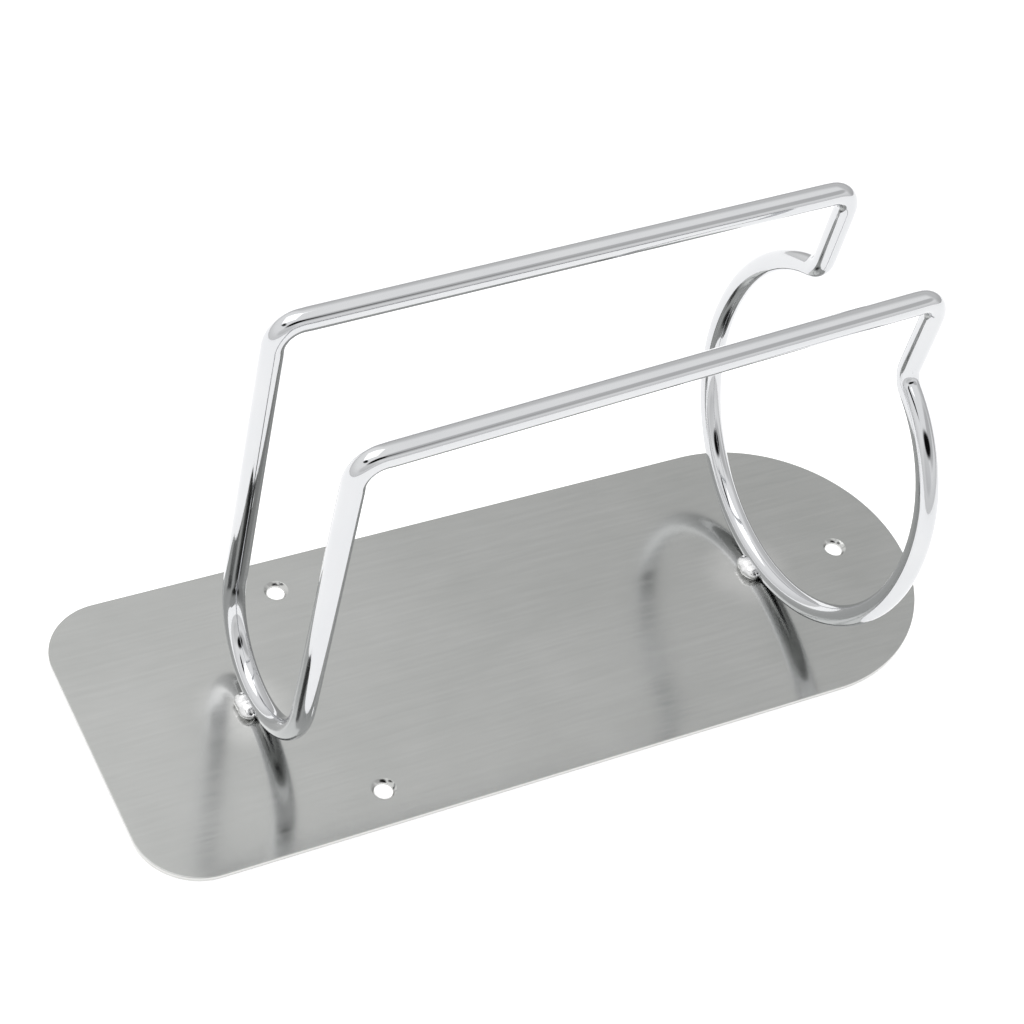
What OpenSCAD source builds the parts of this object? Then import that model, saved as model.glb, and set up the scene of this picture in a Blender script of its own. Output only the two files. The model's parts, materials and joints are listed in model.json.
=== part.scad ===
// Wall-mounted hair dryer holder: a flat screw-on plate with one bent wire frame welded to it.
// Frame: X runs along the plate from its square end to its round end, Y across it, Z out of it.
// The origin is the centre of the plate's back face, which lies on the wall.

/* [Plate] */
// Length of the plate, from the square end to the tip of the round end
plate_l = 200; // [190:1:220]
// Width of the plate, which is also the diameter of its round end
plate_w = 75; // [70:1:85]
// Thickness of the sheet metal
plate_t = 1.2; // [0.8:0.1:2]
// Radius of the two corners at the square end
corner_r = 14; // [5:1:25]

/* [Screw holes] */
// Diameter of each screw hole
hole_d = 4; // [3.5:0.1:5]
// Width of the shallow 45 degree countersink round each hole's front rim
sink_w = 0.7; // [0.2:0.1:0.7]
// Distance between the two holes near the square end
pair_spacing = 57.5; // [54:0.5:60]
// Distance of that pair from the square end
pair_inset = 53.5; // [45:0.5:60]
// Distance of the single hole from the tip of the round end
end_inset = 16; // [10:1:20]

/* [Wire frame] */
// Diameter of the wire
wire_d = 5; // [4:0.1:5.5]

/* [Stirrup at the square end] */
// Distance of the stirrup's foot from the square end
foot_inset = 37; // [30:0.5:42]
// Radius of the foot's bend, at the middle of the wire
foot_r = 18.25; // [14:0.25:18.5]
// How far the tops of the legs lean towards the round end
leg_lean = 2.5; // [0:0.5:4]
// Radius of the bends from the legs to the rails
leg_bend_r = 5.75; // [4:0.25:10]

/* [Rails] */
// Height of the rails above the plate at the stirrup
rail_h = 92; // [88:0.5:96]
// How much further out the rails are at the ring
rail_rise = 6.5; // [0:0.5:8]
// Distance between the rails at the stirrup, middle to middle
rail_gap = 38; // [37:0.5:44]
// How much closer together the rails are at the ring
rail_taper = 3.5; // [0:0.5:5]

/* [Ring] */
// Distance of the ring's foot from the tip of the round end
ring_inset = 37.5; // [34:0.5:44]
// Radius of the ring's lower arc, at the middle of the wire
ring_r = 40.25; // [39.25:0.25:41]
// Radius of the ring's two shoulders, at the middle of the wire
shoulder_r = 34; // [30:0.5:37]
// Lean of the ring towards the round end, in degrees
ring_lean = 4; // [0:0.5:6]
// Radius of the bends at the neck, where the risers open into the ring
neck_r = 5; // [4:0.5:7]
// Radius of the bends from the rails down to the risers
riser_bend_r = 4.5; // [3.5:0.25:6]

/* [Welds] */
// Length of each weld bead along the wire
weld_l = 7; // [5:0.5:9]
// Diameter of the weld bead
weld_d = 3.6; // [3:0.1:4]

/* [Hidden] */

// Angle on the ring, from its top, where a shoulder takes over from the lower arc
SHOULDER_ANGLE = 75;
WIRE_FN = 48;
ARC_FN = 128;
PLATE_FN = 128;
// How far a cutting tool runs past what it cuts
CUT = 1;
// How far each straight length and each shoulder runs into the bends at its ends
LAP = 0.3;

wire_r = wire_d / 2;
// The bends are a hair thinner, so that the lapped straights join them in one solid
bent_r = wire_r - 0.05;
square_x = -plate_l / 2;
tip_x = plate_l / 2;
// Height of the wire's middle where it rests on the plate
rest_z = plate_t + bent_r;
// How far a bead's middle lies from the middle of the wire, along X
weld_reach = wire_r + 0.1;
// Height of a bead's middle above the plate
weld_h = weld_d / 3;

stirrup_foot = [square_x + foot_inset, 0, rest_z];
ring_foot = [tip_x - ring_inset, 0, rest_z];

function unit(v) = v / norm(v);
function across(side) = [0, side, 0];

// Stirrup: its legs are tangent to the foot's bend and reach out to the rails' spacing
leg_rise = rail_h - bent_r;
stirrup_up = unit([leg_lean, 0, leg_rise]);
stirrup_h = norm([leg_lean, 0, leg_rise]);
leg_run = norm([rail_gap / 2, stirrup_h - foot_r]);
leg_splay = atan2(rail_gap / 2, stirrup_h - foot_r) - asin(foot_r / leg_run);
foot_centre = stirrup_foot + foot_r * stirrup_up;
function foot_dir(side, angle) = sin(angle) * across(side) - cos(angle) * stirrup_up;
function leg_start(side) = foot_centre + foot_r * foot_dir(side, 90 - leg_splay);
function leg_top(side) = stirrup_foot + stirrup_h * stirrup_up + (rail_gap / 2) * across(side);

// Ring: a lower arc, two tighter shoulders, and neck bends that turn up into the risers
ring_up = [sin(ring_lean), 0, cos(ring_lean)];
riser_y = (rail_gap - rail_taper) / 2;
riser_h = (rail_h + rail_rise - bent_r) / cos(ring_lean);
shoulder_y = (ring_r - shoulder_r) * sin(SHOULDER_ANGLE);
shoulder_h = ring_r + (ring_r - shoulder_r) * cos(SHOULDER_ANGLE);
neck_angle = asin((riser_y + neck_r - shoulder_y) / (shoulder_r + neck_r));
neck_h = shoulder_h + (shoulder_r + neck_r) * cos(neck_angle);
shoulder_lap = asin(LAP / shoulder_r);
function in_ring(side, y, h) = ring_foot + y * across(side) + h * ring_up;
function riser_top(side) = in_ring(side, riser_y, riser_h);
function riser_foot(side) = in_ring(side, riser_y, neck_h);

// Where a rounded corner begins, on the straight that leads from a to the corner c
function turn(a, c, b) = acos(unit(c - a) * unit(b - c));
function bend_from(a, c, b, r) = c - unit(c - a) * r * tan(turn(a, c, b) / 2);

// Turns and moves its children so that X, Y and Z point along ex, ey and their cross product
module place(origin, ex, ey) {
    ez = cross(ex, ey);
    multmatrix([[ex[0], ey[0], ez[0], origin[0]],
                [ex[1], ey[1], ez[1], origin[1]],
                [ex[2], ey[2], ez[2], origin[2]]])
        children();
}

// A straight length of wire between the bends that end at a and begin at b
module straight(a, b) {
    along = unit(b - a);
    ex = unit(cross([1, 0, 1], along));
    place(a - LAP * along, ex, cross(along, ex))
        cylinder(h = norm(b - a) + 2 * LAP, r = wire_r, $fn = WIRE_FN);
}

// An arc of wire in the plane of ex and ey, from the angle start on, measured from ex towards ey
module arc(centre, ex, ey, r, start, sweep, thick_r = bent_r) {
    place(centre, ex, ey)
        rotate([0, 0, start])
            rotate_extrude(angle = sweep, $fn = ARC_FN)
                translate([r, 0])
                    circle(r = thick_r, $fn = WIRE_FN);
}

// The bend of radius r that rounds the corner c between straights from a and to b
module bend(a, c, b, r) {
    ahead = unit(c - a);
    inward = unit(unit(b - c) - ahead * (ahead * unit(b - c)));
    arc(bend_from(a, c, b, r) + r * inward, -inward, ahead, r, 0, turn(a, c, b));
}

// The bottom of the stirrup, from leg to leg
module foot_arc() {
    arc(foot_centre, -stirrup_up, across(1), foot_r, leg_splay - 90, 180 - 2 * leg_splay);
}

// The lower part of the ring, from shoulder to shoulder
module ring_arc() {
    arc(in_ring(1, 0, ring_r), -ring_up, across(1), ring_r, SHOULDER_ANGLE - 180, 360 - 2 * SHOULDER_ANGLE);
}

// One side of the wire frame, from the foot of its leg to its shoulder of the ring
module half_frame(side) {
    foot = leg_start(side);
    top = leg_top(side);
    corner = riser_top(side);
    neck = riser_foot(side);
    straight(foot, bend_from(foot, top, corner, leg_bend_r));
    bend(foot, top, corner, leg_bend_r);
    straight(bend_from(corner, top, foot, leg_bend_r), bend_from(top, corner, neck, riser_bend_r));
    bend(top, corner, neck, riser_bend_r);
    straight(bend_from(neck, corner, top, riser_bend_r), neck);
    arc(in_ring(side, riser_y + neck_r, neck_h), across(-side), -ring_up, neck_r, 0, 90 - neck_angle);
    arc(in_ring(side, shoulder_y, shoulder_h), ring_up, across(side), shoulder_r,
        neck_angle - shoulder_lap, SHOULDER_ANGLE - neck_angle + 2 * shoulder_lap, wire_r);
}

module wire_frame() {
    color("silver") {
        foot_arc();
        ring_arc();
        for (side = [-1, 1])
            half_frame(side);
    }
}

// Outline of the plate: two rounded corners at the square end, a half circle at the other
module plate_outline() {
    translate([tip_x - plate_w / 2, 0])
        circle(d = plate_w, $fn = PLATE_FN);
    translate([square_x + corner_r, -plate_w / 2])
        square([plate_l - corner_r - plate_w / 2, plate_w]);
    translate([square_x, corner_r - plate_w / 2])
        square([corner_r, plate_w - 2 * corner_r]);
    for (side = [-1, 1])
        translate([square_x + corner_r, side * (plate_w / 2 - corner_r)])
            circle(r = corner_r, $fn = PLATE_FN);
}

// A hole through the sheet, with its countersink open to the front
module screw_hole(x, y) {
    translate([x, y, -CUT])
        cylinder(h = plate_t + 2 * CUT, d = hole_d, $fn = WIRE_FN);
    translate([x, y, plate_t - sink_w])
        cylinder(h = 2 * sink_w, d1 = hole_d, d2 = hole_d + 4 * sink_w, $fn = WIRE_FN);
}

module back_plate() {
    color("lightgray")
        difference() {
            linear_extrude(plate_t)
                plate_outline();
            for (side = [-1, 1])
                screw_hole(square_x + pair_inset, side * pair_spacing / 2);
            screw_hole(tip_x - end_inset, 0);
        }
}

// A bead with round ends, lying along Y in the notch between a foot of the wire and the plate
module bead(foot) {
    reach = weld_l / 2 - weld_d / 2;
    translate([foot[0] - weld_reach, 0, plate_t + weld_h]) {
        rotate([90, 0, 0])
            cylinder(h = 2 * reach, d = weld_d, center = true, $fn = WIRE_FN);
        for (side = [-1, 1])
            translate([0, side * reach, 0])
                sphere(d = weld_d, $fn = WIRE_FN);
    }
}

// Everything below the plate's front face, under a bead
module under(foot) {
    translate([foot[0] - weld_l, -weld_l, plate_t - weld_l])
        cube([2 * weld_l, 2 * weld_l, weld_l]);
}

module stirrup_weld() {
    color("gray")
        difference() {
            bead(stirrup_foot);
            under(stirrup_foot);
            foot_arc();
        }
}

module ring_weld() {
    color("gray")
        difference() {
            bead(ring_foot);
            under(ring_foot);
            ring_arc();
        }
}

back_plate();
wire_frame();
stirrup_weld();
ring_weld();
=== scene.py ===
"""A hair dryer holder: a steel plate, one bent chromed wire and the two weld beads that join them.

The CAD frame sets every place: X runs along the plate to its round end, Y across it, Z out of it.
"""

import json
import math

import bmesh
import bpy
from mathutils import Matrix, Vector, noise

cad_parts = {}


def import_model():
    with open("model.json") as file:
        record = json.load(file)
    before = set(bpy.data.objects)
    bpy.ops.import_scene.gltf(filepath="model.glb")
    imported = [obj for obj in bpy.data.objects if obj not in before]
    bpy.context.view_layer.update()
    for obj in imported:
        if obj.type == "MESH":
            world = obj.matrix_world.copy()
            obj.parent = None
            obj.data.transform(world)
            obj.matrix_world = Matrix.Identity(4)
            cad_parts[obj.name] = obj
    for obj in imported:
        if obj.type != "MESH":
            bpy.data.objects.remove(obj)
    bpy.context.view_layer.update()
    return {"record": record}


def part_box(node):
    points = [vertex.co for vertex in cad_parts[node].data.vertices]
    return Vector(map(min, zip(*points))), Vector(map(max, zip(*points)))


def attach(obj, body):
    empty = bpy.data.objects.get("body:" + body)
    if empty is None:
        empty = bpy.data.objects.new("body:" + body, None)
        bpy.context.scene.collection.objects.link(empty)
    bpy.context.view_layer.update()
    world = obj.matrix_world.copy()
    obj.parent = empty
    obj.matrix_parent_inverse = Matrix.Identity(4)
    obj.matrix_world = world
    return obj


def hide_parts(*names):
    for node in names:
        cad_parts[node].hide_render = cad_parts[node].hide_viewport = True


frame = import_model()

MM = 0.001
UP = Vector((0, 0, 1))
ACROSS = Vector((0, 1, 0))

# The plate, from the frame
PLATE_LOW, PLATE_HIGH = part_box("back_plate")
PLATE_T = PLATE_HIGH.z
HALF_W = PLATE_HIGH.y
CORNER_R = 14 * MM
EDGE_R = 0.22 * MM
EDGE_STEPS = 4
CORNER_STEPS = 40

# The screw holes and their countersinks
MOUNTS = {m["name"]: m for m in frame["record"]["mounts"]}
SINK_W = 0.7 * MM
RIM_SOFT = 0.05 * MM
HOLE_STEPS = 40
HOLE_R = MOUNTS["end_screw"]["dims"]["r_mm"] * MM
PAIR_X = MOUNTS["screw_pair"]["pos_m"][0]
PAIR_Y = MOUNTS["screw_pair"]["dims"]["spacing_y_mm"] * MM / 2
END_X = MOUNTS["end_screw"]["pos_m"][0]
HOLES = [(PAIR_X, -PAIR_Y), (PAIR_X, PAIR_Y), (END_X, 0.0)]

# The wire
WIRE_R = 2.5 * MM
BENT_R = 2.45 * MM
REST_Z = PLATE_T + BENT_R
WIRE_SIDES = 48
BEND_STEP = math.radians(3)
STRAIGHT_STEP = 4 * MM
EASE = 1.5 * MM

# The stirrup at the square end
FOOT_X = PLATE_LOW.x + 37 * MM
FOOT_R = 18.25 * MM
LEG_LEAN = 2.5 * MM
LEG_BEND_R = 5.75 * MM

# The rails
RAIL_H = 92 * MM
RAIL_RISE = 6.5 * MM
RAIL_GAP = 38 * MM
RAIL_TAPER = 3.5 * MM

# The ring at the round end
RING_X = PLATE_HIGH.x - 37.5 * MM
RING_R = 40.25 * MM
SHOULDER_R = 34 * MM
SHOULDER_ANGLE = math.radians(75)
RING_LEAN = math.radians(4)
NECK_R = 5 * MM
RISER_BEND_R = 4.5 * MM

# The welds
BEAD_L = 7 * MM
BEAD_R = 1.8 * MM
BEAD_REACH = WIRE_R + 0.1 * MM
BEAD_H = 1.2 * MM

# The camera
CAMERA_TARGET = Vector((15.0, 33.8, 1.2)) * MM
CAMERA_DISTANCE = 595.7 * MM
CAMERA_AZIMUTH = math.radians(-36.43)
CAMERA_ELEVATION = math.radians(45.61)
CAMERA_ROLL = math.radians(13.59)
CAMERA_LENS = 90.52
CAMERA_SENSOR = 36
CAMERA_CLIP = (0.01, 20)


# ---------------------------------------------------------------- mesh helpers

def new_object(name, mesh, material):
    piece = bpy.data.objects.new(name, mesh)
    bpy.context.scene.collection.objects.link(piece)
    mesh.materials.append(material)
    return piece


def stand_for(piece, node):
    """The piece stands in for a CAD node, whose own mesh is hidden, and rides on the one body."""
    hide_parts(node)
    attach(piece, "root")


def arc_points(centre, ex, ey, radius, start, sweep):
    """Points along an arc in the plane of ex and ey, ends included."""
    steps = max(2, math.ceil(abs(sweep) / BEND_STEP))
    angles = [start + sweep * i / steps for i in range(steps + 1)]
    return [centre + radius * (math.cos(a) * ex + math.sin(a) * ey) for a in angles]


def corner_arc(a, corner, b, radius):
    """The arc that rounds a corner between straights from a and to b."""
    ahead = (corner - a).normalized()
    onward = (b - corner).normalized()
    turn = ahead.angle(onward)
    inward = (onward - ahead * ahead.dot(onward)).normalized()
    start = corner - ahead * radius * math.tan(turn / 2)
    return arc_points(start + radius * inward, -inward, ahead, radius, 0, turn)


# ---------------------------------------------------------------- the wire's route

def stirrup():
    """The stirrup's upward direction, its height, and the angle by which each leg splays."""
    rise = Vector((LEG_LEAN, 0, RAIL_H - BENT_R))
    height = rise.length
    run = math.hypot(RAIL_GAP / 2, height - FOOT_R)
    splay = math.atan2(RAIL_GAP / 2, height - FOOT_R) - math.asin(FOOT_R / run)
    return rise.normalized(), height, splay


def half_route(side):
    """One side of the frame, from the stirrup's foot to the ring's foot, as a list of stretches."""
    y_axis = side * ACROSS
    up, height, splay = stirrup()
    foot = Vector((FOOT_X, 0, REST_Z))
    foot_arc = arc_points(foot + FOOT_R * up, -up, y_axis, FOOT_R, 0, math.pi / 2 - splay)
    leg_top = foot + height * up + RAIL_GAP / 2 * y_axis

    lean = Vector((math.sin(RING_LEAN), 0, math.cos(RING_LEAN)))
    ring_foot = Vector((RING_X, 0, REST_Z))
    riser_y = (RAIL_GAP - RAIL_TAPER) / 2
    riser_h = (RAIL_H + RAIL_RISE - BENT_R) / math.cos(RING_LEAN)
    shoulder_y = (RING_R - SHOULDER_R) * math.sin(SHOULDER_ANGLE)
    shoulder_h = RING_R + (RING_R - SHOULDER_R) * math.cos(SHOULDER_ANGLE)
    neck_angle = math.asin((riser_y + NECK_R - shoulder_y) / (SHOULDER_R + NECK_R))
    neck_h = shoulder_h + (SHOULDER_R + NECK_R) * math.cos(neck_angle)

    def in_ring(y, h):
        return ring_foot + y * y_axis + h * lean

    riser_top = in_ring(riser_y, riser_h)
    riser_foot = in_ring(riser_y, neck_h)
    neck = arc_points(in_ring(riser_y + NECK_R, neck_h), -y_axis, -lean, NECK_R,
                      0, math.pi / 2 - neck_angle)
    shoulder = arc_points(in_ring(shoulder_y, shoulder_h), lean, y_axis, SHOULDER_R,
                          neck_angle, SHOULDER_ANGLE - neck_angle)
    ring = arc_points(in_ring(0, RING_R), lean, y_axis, RING_R,
                      SHOULDER_ANGLE, math.pi - SHOULDER_ANGLE)
    leg_bend = corner_arc(foot_arc[-1], leg_top, riser_top, LEG_BEND_R)
    riser_bend = corner_arc(leg_top, riser_top, riser_foot, RISER_BEND_R)
    return [foot_arc, leg_bend, riser_bend, neck + shoulder[1:] + ring[1:]]


def eased(stretches):
    """Joins the bends into one line of (point, radius); the bends are a hair thinner, as in the frame."""
    line = []
    for bend in stretches:
        if line:
            before, gap = line[-1][0], bend[0] - line[-1][0]
            ahead = gap.normalized()
            line.append((before + ahead * EASE, WIRE_R))
            middle = max(1, int(gap.length / STRAIGHT_STEP))
            line += [(before + gap * i / middle, WIRE_R) for i in range(1, middle)
                     if EASE < gap.length * i / middle < gap.length - EASE]
            line.append((bend[0] - ahead * EASE, WIRE_R))
        line += [(point, BENT_R) for point in bend]
    return line


def wire_line():
    """The closed line of the whole wire: one side out, the other side back."""
    near = eased(half_route(-1))
    far = eased(half_route(1))
    return near[:-1] + far[:0:-1]


def tube(name, line, material):
    """A closed round tube along a line, with its own along-and-around coordinates for the finish."""
    points = [p for p, _ in line]
    count = len(points)
    tangents = [(points[(i + 1) % count] - points[i - 1]).normalized() for i in range(count)]
    normals = [tangents[0].orthogonal().normalized()]
    for i in range(1, count + 1):
        t = tangents[i % count]
        n = normals[-1] - t * normals[-1].dot(t)
        normals.append(n.normalized())
    end, first = normals[-1], normals[0]
    miss = math.atan2(tangents[0].dot(end.cross(first)), end.dot(first))

    bm = bmesh.new()
    along = 0.0
    places, rings = [], []
    for i in range(count):
        n = Matrix.Rotation(miss * i / count, 3, tangents[i]) @ normals[i]
        b = tangents[i].cross(n)
        ring = []
        for k in range(WIRE_SIDES):
            a = 2 * math.pi * k / WIRE_SIDES
            c, s = math.cos(a), math.sin(a)
            ring.append(bm.verts.new(points[i] + line[i][1] * (c * n + s * b)))
            places.append((along, WIRE_R * c, WIRE_R * s))
        rings.append(ring)
        along += (points[(i + 1) % count] - points[i]).length
    for i in range(count):
        here, there = rings[i], rings[(i + 1) % count]
        for k in range(WIRE_SIDES):
            m = (k + 1) % WIRE_SIDES
            bm.faces.new((here[k], here[m], there[m], there[k])).smooth = True
    bmesh.ops.recalc_face_normals(bm, faces=bm.faces)
    mesh = bpy.data.meshes.new(name)
    bm.to_mesh(mesh)
    bm.free()
    attribute = mesh.attributes.new("along", "FLOAT_VECTOR", "POINT")
    attribute.data.foreach_set("vector", [c for place in places for c in place])
    return new_object(name, mesh, material)


# ---------------------------------------------------------------- the plate

def plate_loop(inset):
    """The plate's outline, moved inwards: two rounded corners and a half circle."""
    half_w, corner = HALF_W - inset, CORNER_R - inset
    left, tip = PLATE_LOW.x + CORNER_R, PLATE_HIGH.x - HALF_W
    loop = []
    for cx, cy, r, start, sweep in (
            (tip, 0, half_w, -math.pi / 2, math.pi),
            (left, HALF_W - CORNER_R, corner, math.pi / 2, math.pi / 2),
            (left, CORNER_R - HALF_W, corner, math.pi, math.pi / 2)):
        steps = round(CORNER_STEPS * sweep / (math.pi / 2))
        angles = [start + sweep * i / steps for i in range(steps + 1)]
        loop += [(cx + r * math.cos(a), cy + r * math.sin(a)) for a in angles]
    return loop


def hole_loop(x, y, widen):
    """A circle on a screw hole's axis, wider than the hole's own radius by widen."""
    angles = [2 * math.pi * i / HOLE_STEPS for i in range(HOLE_STEPS)]
    r = HOLE_R + widen
    return [(x + r * math.cos(a), y + r * math.sin(a)) for a in angles]


def edge_profile():
    """(inset, height) from the front face round the cut edge to the back face."""
    quarter = [math.pi / 2 * i / EDGE_STEPS for i in range(EDGE_STEPS + 1)]
    front = [(EDGE_R * (1 - math.sin(a)), PLATE_T - EDGE_R * (1 - math.cos(a))) for a in quarter]
    return front + [(inset, PLATE_T - z) for inset, z in reversed(front)]


def hole_profile():
    """(widening, height) down a hole: a countersink with softened rims, the straight wall, the back rim."""
    return [(SINK_W + RIM_SOFT, PLATE_T), (SINK_W, PLATE_T - RIM_SOFT / 2), (RIM_SOFT, PLATE_T - SINK_W),
            (0, PLATE_T - SINK_W - RIM_SOFT), (0, RIM_SOFT), (RIM_SOFT, 0)]


def skirt(bm, loop_at, profile):
    """Walls that follow a profile, and the loops of edges at the front and the back."""
    rows = [[bm.verts.new((x, y, z)) for x, y in loop_at(inset)] for inset, z in profile]
    count = len(rows[0])
    for upper, lower in zip(rows, rows[1:]):
        for k in range(count):
            m = (k + 1) % count
            bm.faces.new((upper[k], upper[m], lower[m], lower[k])).smooth = True

    def edges(row):
        return [bm.edges.get((row[k], row[(k + 1) % count])) for k in range(count)]

    return edges(rows[0]), edges(rows[-1])


def plate(material):
    bm = bmesh.new()
    skirts = [skirt(bm, plate_loop, edge_profile())]
    skirts += [skirt(bm, lambda widen, x=x, y=y: hole_loop(x, y, widen), hole_profile()) for x, y in HOLES]
    for end, normal in ((0, UP), (1, -UP)):
        edges = [e for pair in skirts for e in pair[end]]
        bmesh.ops.triangle_fill(bm, use_beauty=True, edges=edges, normal=normal)
    bmesh.ops.recalc_face_normals(bm, faces=bm.faces)
    mesh = bpy.data.meshes.new("steel_plate")
    bm.to_mesh(mesh)
    bm.free()
    return new_object("steel_plate", mesh, material)


# ---------------------------------------------------------------- the weld beads

# Mesh rows along a bead and sides round it
BEAD_ROWS = 56
BEAD_SIDES = 40

# Its surface: ripples in each half, depths as parts of its radius, and the lumps' scale along and round it
BEAD_RIPPLES = 4
RIPPLE_DEPTH = 0.006
LUMP_DEPTH = 0.10
LUMP_MEAN = 0.93
LUMPS_ALONG = 3
LUMPS_ROUND = 1.3

# How many times wider it is on the side away from the wire
BEAD_SPREAD = 1.35

# The pit near each end: its size, its distance from the middle as a part of the bead's length, and its
# place back from the middle line and above it
PIT_R = 1.1 * MM
PIT_DEPTH = 1.1 * MM
PIT_ALONG = 0.40
PIT_BACK = 0.1 * MM
PIT_ABOVE = 1.2 * MM


def bead(name, foot_x, seed, material):
    """A weld bead beside the wire's foot: a rippled, slightly uneven ridge with a pit near each end."""
    middle = Vector((foot_x - BEAD_REACH, 0, PLATE_T + BEAD_H))
    pits = [middle + Vector((-PIT_BACK, end * PIT_ALONG * BEAD_L, PIT_ABOVE)) for end in (-1, 1)]
    bm = bmesh.new()
    rows = []
    for i in range(1, BEAD_ROWS):
        t = -1 + 2 * i / BEAD_ROWS
        y = t * BEAD_L / 2
        swell = (1 - abs(t) ** 3) ** 0.5 * (1 + RIPPLE_DEPTH * math.cos(2 * math.pi * BEAD_RIPPLES * t))
        row = []
        for k in range(BEAD_SIDES):
            a = 2 * math.pi * k / BEAD_SIDES
            out = Vector((math.cos(a), 0, math.sin(a)))
            lump = noise.noise(Vector((seed, t * LUMPS_ALONG, 0)) + out * LUMPS_ROUND)
            point = middle + ACROSS * y + out * BEAD_R * swell * (LUMP_MEAN + LUMP_DEPTH * lump)
            point.x += (BEAD_SPREAD - 1) * min(0.0, point.x - middle.x)
            for pit in pits:
                near = max(0.0, 1 - (point - pit).length / PIT_R)
                point -= UP * PIT_DEPTH * near * near
            row.append(bm.verts.new(point))
        rows.append(row)
    for here, there in zip(rows, rows[1:]):
        for k in range(BEAD_SIDES):
            m = (k + 1) % BEAD_SIDES
            bm.faces.new((here[k], here[m], there[m], there[k])).smooth = True
    for row, end in ((rows[0], -1), (rows[-1], 1)):
        tip = bm.verts.new(middle + ACROSS * end * BEAD_L / 2)
        for k in range(BEAD_SIDES):
            bm.faces.new((row[k], row[(k + 1) % BEAD_SIDES], tip)).smooth = True
    bmesh.ops.recalc_face_normals(bm, faces=bm.faces)
    mesh = bpy.data.meshes.new(name)
    bm.to_mesh(mesh)
    bm.free()
    return new_object(name, mesh, material)


# ---------------------------------------------------------------- materials

# The middle range of a noise value, which each finish spreads over a range of its own
NOISE_LOW, NOISE_HIGH = 0.3, 0.7

# Base colours: the sheet, a painted glow round the welds and its cut edge, then the chrome and the weld
# metal
SHEET_DARK, SHEET_LIGHT = (0.412, 0.419, 0.409), (0.480, 0.485, 0.476)
PAINTED_GLOW_TINT = (0.66, 0.66, 0.65)
CUT_TINT = (0.60, 0.60, 0.59)
CHROME_DARK, CHROME_LIGHT = (0.560, 0.567, 0.582), (0.598, 0.602, 0.609)
# The weld's dark colour is mostly painted shade for the bead's pits; the lumps lean only a little towards
# it.
WELD_DARK_AND_PIT_SHADE, WELD_LIGHT = (0.04, 0.04, 0.045), (0.86, 0.86, 0.86)

# Where the painted glow round a weld, which stands in for the wire's reflection in the sheet, starts to
# fade and ends, and its strength
PAINTED_GLOW_FROM, PAINTED_GLOW_TO = 3 * MM, 13 * MM
PAINTED_GLOW_STRENGTH = 0.75


class Nodes:
    """Short ways to add and join a material's nodes."""

    def __init__(self, name):
        self.material = bpy.data.materials.new(name)
        self.material.use_nodes = True
        self.tree = self.material.node_tree
        self.shader = self.tree.nodes["Principled BSDF"]

    def add(self, kind, **settings):
        node = self.tree.nodes.new(kind)
        for key, value in settings.items():
            setattr(node, key, value)
        return node

    def join(self, source, target):
        self.tree.links.new(source, target)

    def noise(self, vector, scale, stretch=(1, 1, 1), detail=4, rough=0.5):
        """Noise between 0 and 1, its pattern stretched along the axes."""
        mapping = self.add("ShaderNodeMapping")
        mapping.inputs["Scale"].default_value = stretch
        self.join(vector, mapping.inputs["Vector"])
        texture = self.add("ShaderNodeTexNoise")
        texture.inputs["Scale"].default_value = scale
        texture.inputs["Detail"].default_value = detail
        texture.inputs["Roughness"].default_value = rough
        self.join(mapping.outputs["Vector"], texture.inputs["Vector"])
        return texture.outputs["Fac"]

    def ranged(self, value, low, high, to_low, to_high, smooth=False):
        """Maps low..high to to_low..to_high, held at the ends."""
        node = self.add("ShaderNodeMapRange", clamp=True)
        if smooth:
            node.interpolation_type = "SMOOTHSTEP"
        for key, number in zip(("From Min", "From Max", "To Min", "To Max"),
                               (low, high, to_low, to_high)):
            node.inputs[key].default_value = number
        self.join(value, node.inputs["Value"])
        return node.outputs["Result"]

    def spread(self, value, to_low, to_high):
        """Spreads the middle range of a noise over to_low..to_high."""
        return self.ranged(value, NOISE_LOW, NOISE_HIGH, to_low, to_high)

    def maths(self, operation, a, b):
        node = self.add("ShaderNodeMath", operation=operation)
        for socket, value in zip(node.inputs, (a, b)):
            if isinstance(value, (int, float)):
                socket.default_value = value
            else:
                self.join(value, socket)
        return node.outputs[0]

    def tint(self, factor, dark, light):
        """A colour between two, by a factor."""
        node = self.add("ShaderNodeMix", data_type="RGBA")
        self.join(factor, node.inputs["Factor"])
        node.inputs["A"].default_value = (*dark, 1)
        node.inputs["B"].default_value = (*light, 1)
        return node.outputs["Result"]

    def blend(self, factor, colour, other):
        """A node's colour mixed towards a fixed one."""
        node = self.add("ShaderNodeMix", data_type="RGBA")
        self.join(factor, node.inputs["Factor"])
        self.join(colour, node.inputs["A"])
        node.inputs["B"].default_value = (*other, 1)
        return node.outputs["Result"]

    def bump(self, height, strength, distance, under=None):
        node = self.add("ShaderNodeBump")
        node.inputs["Strength"].default_value = strength
        node.inputs["Distance"].default_value = distance
        self.join(height, node.inputs["Height"])
        if under is not None:
            self.join(under, node.inputs["Normal"])
        return node.outputs["Normal"]


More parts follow.
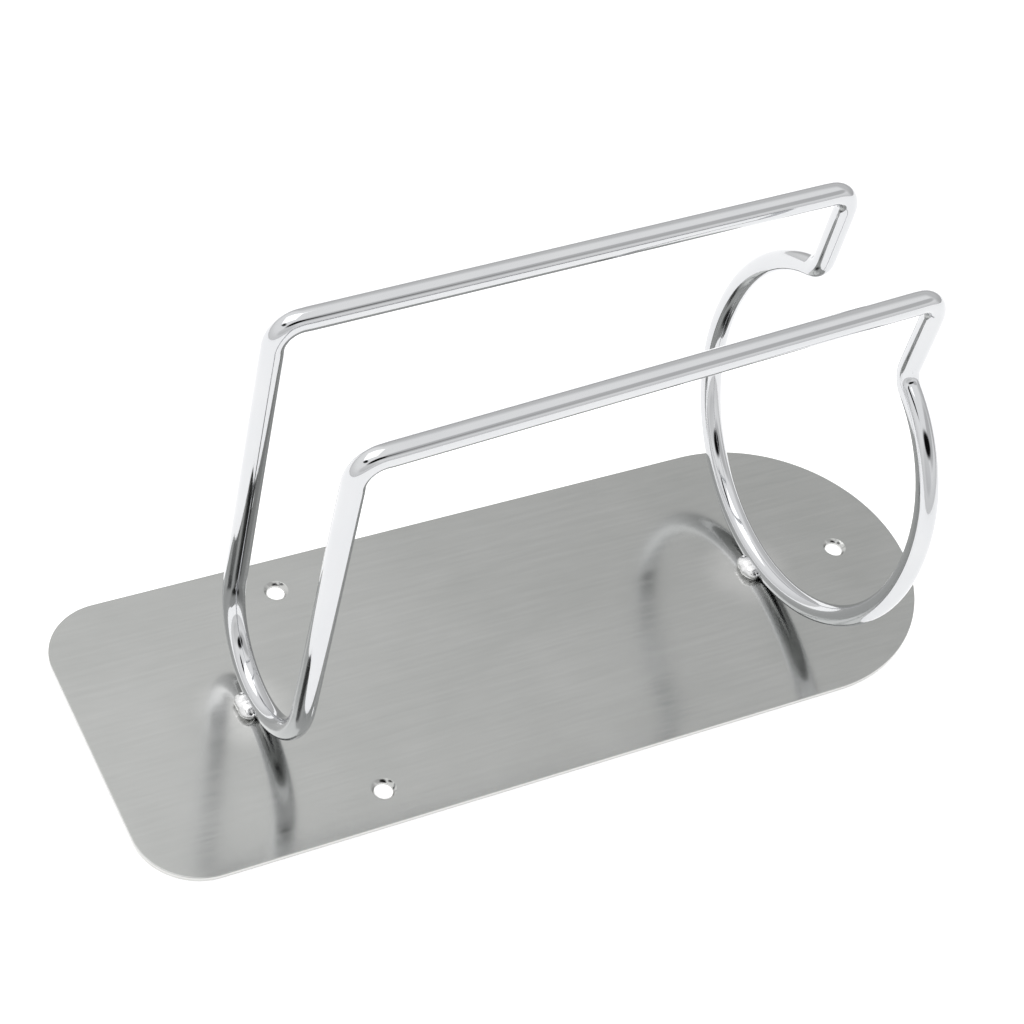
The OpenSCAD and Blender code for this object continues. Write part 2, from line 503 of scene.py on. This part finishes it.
def plate_material():
    """Satin steel sheet: fine lengthwise grain, faint clouding, and a painted glow round the welds in place
    of the wire's reflection.
    """
    n = Nodes("satin_steel")
    place = n.add("ShaderNodeTexCoord").outputs["Object"]
    grain = n.noise(place, scale=900, stretch=(0.05, 1, 1), detail=6, rough=0.6)
    cloud = n.noise(place, scale=28, detail=3)
    mottle = n.noise(place, scale=120, stretch=(0.6, 1, 1), detail=5, rough=0.6)

    # Painted reflection: round each weld the sheet is mixed towards a lighter tint, where the wire's bright
    # reflection falls.
    painted_glow = None
    for x in (FOOT_X, RING_X):
        gap = n.add("ShaderNodeVectorMath", operation="DISTANCE")
        gap.inputs[1].default_value = (x - BEAD_REACH, 0, PLATE_T)
        n.join(place, gap.inputs[0])
        near = n.ranged(gap.outputs["Value"], PAINTED_GLOW_FROM, PAINTED_GLOW_TO, 1, 0, smooth=True)
        painted_glow = near if painted_glow is None else n.maths("MAXIMUM", painted_glow, near)
    painted_glow = n.maths("MULTIPLY", painted_glow, n.spread(mottle, 0.5, 1.0))

    shade = n.maths("ADD", n.spread(cloud, 0.0, 0.45), n.spread(grain, 0.0, 0.35))
    shade = n.maths("ADD", shade, n.spread(mottle, 0.0, 0.2))
    sheet = n.blend(n.maths("MULTIPLY", painted_glow, PAINTED_GLOW_STRENGTH),
                    n.tint(shade, SHEET_DARK, SHEET_LIGHT), PAINTED_GLOW_TINT)
    facing = n.add("ShaderNodeSeparateXYZ")
    n.join(n.add("ShaderNodeNewGeometry").outputs["Normal"], facing.inputs[0])
    cut = n.ranged(n.maths("ABSOLUTE", facing.outputs["Z"], 0), low=0.5, high=0.95, to_low=1, to_high=0)
    n.join(n.blend(cut, sheet, CUT_TINT), n.shader.inputs["Base Color"])

    rough = n.maths("ADD", n.spread(grain, 0.12, 0.17), n.spread(cloud, -0.01, 0.02))
    n.join(rough, n.shader.inputs["Roughness"])
    n.shader.inputs["Metallic"].default_value = 1
    fine = n.bump(grain, strength=0.10, distance=0.02 * MM)
    n.join(n.bump(cloud, strength=0.25, distance=0.08 * MM, under=fine), n.shader.inputs["Normal"])
    return n.material


def wire_material():
    """Bright chrome over drawn wire: faint lines along it, tiny pits and a slightly uneven skin."""
    n = Nodes("bright_chrome")
    along = n.add("ShaderNodeAttribute", attribute_name="along").outputs["Vector"]
    lines = n.noise(along, scale=1500, stretch=(0.02, 1, 1), rough=0.6)
    skin = n.noise(along, scale=160, stretch=(0.5, 1, 1), detail=2)
    specks = n.ranged(n.noise(along, scale=2600, detail=2), low=0.68, high=0.76, to_low=0, to_high=1)

    n.join(n.tint(skin, CHROME_DARK, CHROME_LIGHT), n.shader.inputs["Base Color"])
    rough = n.maths("ADD", n.spread(lines, 0.045, 0.085), n.maths("MULTIPLY", specks, 0.12))
    n.join(rough, n.shader.inputs["Roughness"])
    n.shader.inputs["Metallic"].default_value = 1
    fine = n.bump(lines, strength=0.06, distance=0.01 * MM)
    n.join(n.bump(skin, strength=0.12, distance=0.05 * MM, under=fine), n.shader.inputs["Normal"])
    return n.material


def weld_material():
    """Weld metal under the same bright finish: rougher, lumpy, and with painted shade in its pits."""
    n = Nodes("weld_metal")
    place = n.add("ShaderNodeTexCoord").outputs["Object"]
    lumps = n.noise(place, scale=700, rough=0.6)
    fine = n.noise(place, scale=3500, detail=3)
    hollow = n.add("ShaderNodeNewGeometry").outputs["Pointiness"]
    # Painted shade: hollows, found by their low pointiness, are darkened to near black.
    pits = n.ranged(hollow, low=0.42, high=0.5, to_low=0, to_high=1)

    shade = n.maths("MULTIPLY", n.ranged(lumps, low=0.25, high=0.75, to_low=0.75, to_high=1), pits)
    n.join(n.tint(shade, WELD_DARK_AND_PIT_SHADE, WELD_LIGHT), n.shader.inputs["Base Color"])
    n.join(n.spread(fine, 0.14, 0.32), n.shader.inputs["Roughness"])
    n.shader.inputs["Metallic"].default_value = 1
    grit = n.bump(fine, strength=0.1, distance=0.02 * MM)
    n.join(n.bump(lumps, strength=0.2, distance=0.06 * MM, under=grit), n.shader.inputs["Normal"])
    return n.material


# ---------------------------------------------------------------- studio

FLOOR_SIZE = 6.0
FLOOR_GAP = 0.05 * MM
TABLE_TONE = 0.9
TABLE_ROUGHNESS = 0.9
TABLE_SPECULAR = 0.1
TABLE_GLOW = 0.36


def floor_material():
    """A lit white table: pale all over, with hardly any shadow."""
    material = bpy.data.materials.new("white_table")
    material.use_nodes = True
    shader = material.node_tree.nodes["Principled BSDF"]
    shader.inputs["Base Color"].default_value = (TABLE_TONE, TABLE_TONE, TABLE_TONE, 1)
    shader.inputs["Roughness"].default_value = TABLE_ROUGHNESS
    shader.inputs["Specular IOR Level"].default_value = TABLE_SPECULAR
    shader.inputs["Emission Color"].default_value = (1, 1, 1, 1)
    shader.inputs["Emission Strength"].default_value = TABLE_GLOW
    return material


def floor():
    half = FLOOR_SIZE / 2
    corners = [(-half, -half), (half, -half), (half, half), (-half, half)]
    mesh = bpy.data.meshes.new("table_top")
    mesh.from_pydata([(x, y, -FLOOR_GAP) for x, y in corners], [], [(0, 1, 2, 3)])
    new_object("table_top", mesh, floor_material())


def camera_axes():
    """The camera's right, up and back directions."""
    a, e, r = CAMERA_AZIMUTH, CAMERA_ELEVATION, CAMERA_ROLL
    back = Vector((math.sin(a) * math.cos(e), -math.cos(a) * math.cos(e), math.sin(e)))
    right = Vector((math.cos(a), math.sin(a), 0))
    up = back.cross(right)
    return math.cos(r) * right + math.sin(r) * up, math.cos(r) * up - math.sin(r) * right, back


def camera():
    right, up, back = camera_axes()
    data = bpy.data.cameras.new("camera")
    data.sensor_width = CAMERA_SENSOR
    data.lens = CAMERA_LENS
    data.clip_start, data.clip_end = CAMERA_CLIP
    place = Matrix((right, up, back)).transposed().to_4x4()
    place.translation = CAMERA_TARGET + back * CAMERA_DISTANCE
    eye = bpy.data.objects.new("camera", data)
    bpy.context.scene.collection.objects.link(eye)
    eye.matrix_world = place
    bpy.context.scene.camera = eye


# The sky: its brightness at the horizon and overhead, and how it falls off at the back right
SKY_LOW = 0.82
SKY_HIGH = 1.0
SKY_HIGH_AT = 0.5
FALL_TOWARDS = Vector((1, 0.6, 0)).normalized()
FALL_FROM, FALL_TO, FALL_LEVEL = 0.45, 0.72, 0.71

# Dim gaps in it: azimuth and elevation in degrees, half sizes across and up, and brightness
GAPS = [(-9, 42, 0.56, 0.19, 0.01), (38, 38, 0.60, 0.33, 0.63), (-78, 49, 0.34, 0.12, 0.03),
        (-30, 22, 0.60, 0.28, 0.80)]

# Where a gap starts to fade, as a part of its half sizes, and what keeps it out of the sky's other half
GAP_SOFT = 0.55
OTHER_HALF_AT, OTHER_HALF_LIFT = 0.2, 2


class Sky:
    """Short ways to work out the world's brightness from a direction."""

    def __init__(self, tree):
        self.tree = tree
        self.direction = tree.nodes.new("ShaderNodeTexCoord").outputs["Generated"]

    def along(self, axis):
        node = self.tree.nodes.new("ShaderNodeVectorMath")
        node.operation = "DOT_PRODUCT"
        node.inputs[1].default_value = axis
        self.tree.links.new(self.direction, node.inputs[0])
        return node.outputs["Value"]

    def maths(self, operation, a, b=0.0):
        node = self.tree.nodes.new("ShaderNodeMath")
        node.operation = operation
        for socket, value in zip(node.inputs, (a, b)):
            if isinstance(value, (int, float)):
                socket.default_value = value
            else:
                self.tree.links.new(value, socket)
        return node.outputs[0]

    def ranged(self, value, low, high, to_low, to_high):
        node = self.tree.nodes.new("ShaderNodeMapRange")
        node.interpolation_type = "SMOOTHSTEP"
        for key, number in zip(("From Min", "From Max", "To Min", "To Max"), (low, high, to_low, to_high)):
            node.inputs[key].default_value = number
        self.tree.links.new(value, node.inputs["Value"])
        return node.outputs["Result"]


def gap(sky, azimuth, elevation, across, up, level):
    """A soft-edged oval of the sky that is dimmed to a level."""
    a, e = math.radians(azimuth), math.radians(elevation)
    middle = Vector((math.sin(a) * math.cos(e), -math.cos(a) * math.cos(e), math.sin(e)))
    level_right = Vector((math.cos(a), math.sin(a), 0))
    x = sky.maths("DIVIDE", sky.along(level_right), across)
    y = sky.maths("DIVIDE", sky.along(middle.cross(level_right)), up)
    spread = sky.maths("SQRT", sky.maths("ADD", sky.maths("POWER", x, 2), sky.maths("POWER", y, 2)))
    behind = sky.ranged(sky.along(middle), 0, OTHER_HALF_AT, OTHER_HALF_LIFT, 0)
    return sky.ranged(sky.maths("ADD", spread, behind), GAP_SOFT, 1, level, 1)


def world():
    """A plain white studio, dimmer at the horizon, with dim gaps on the camera's side."""
    studio = bpy.data.worlds.new("studio")
    bpy.context.scene.world = studio
    studio.use_nodes = True
    sky = Sky(studio.node_tree)
    light = sky.ranged(sky.along(UP), 0, SKY_HIGH_AT, SKY_LOW, SKY_HIGH)
    fall = sky.ranged(sky.along(FALL_TOWARDS), FALL_FROM, FALL_TO, 1, FALL_LEVEL)
    light = sky.maths("MULTIPLY", light, fall)
    for shape in GAPS:
        light = sky.maths("MULTIPLY", light, gap(sky, *shape))
    background = studio.node_tree.nodes["Background"]
    background.inputs["Color"].default_value = (1, 1, 1, 1)
    studio.node_tree.links.new(light, background.inputs["Strength"])


def softbox(name, direction, distance, size, power):
    """A square area light that faces the object from a direction."""
    data = bpy.data.lights.new(name, "AREA")
    data.size = size
    data.energy = power
    lamp = bpy.data.objects.new(name, data)
    bpy.context.scene.collection.objects.link(lamp)
    lamp.location = direction.normalized() * distance
    lamp.rotation_mode = "QUATERNION"
    lamp.rotation_quaternion = direction.to_track_quat("Z", "Y")


# ---------------------------------------------------------------- build

camera()
world()
floor()
softbox("overhead_softbox", Vector((-0.3, 0.2, 1.0)), distance=2.0, size=1.6, power=6)

stand_for(plate(plate_material()), "back_plate")
stand_for(tube("bent_wire", wire_line(), wire_material()), "wire_frame")
weld = weld_material()
stand_for(bead("stirrup_bead", FOOT_X, seed=1.0, material=weld), "stirrup_weld")
stand_for(bead("ring_bead", RING_X, seed=5.0, material=weld), "ring_weld")

view = bpy.context.scene.view_settings
view.view_transform = "Standard"
view.look = "Medium High Contrast"
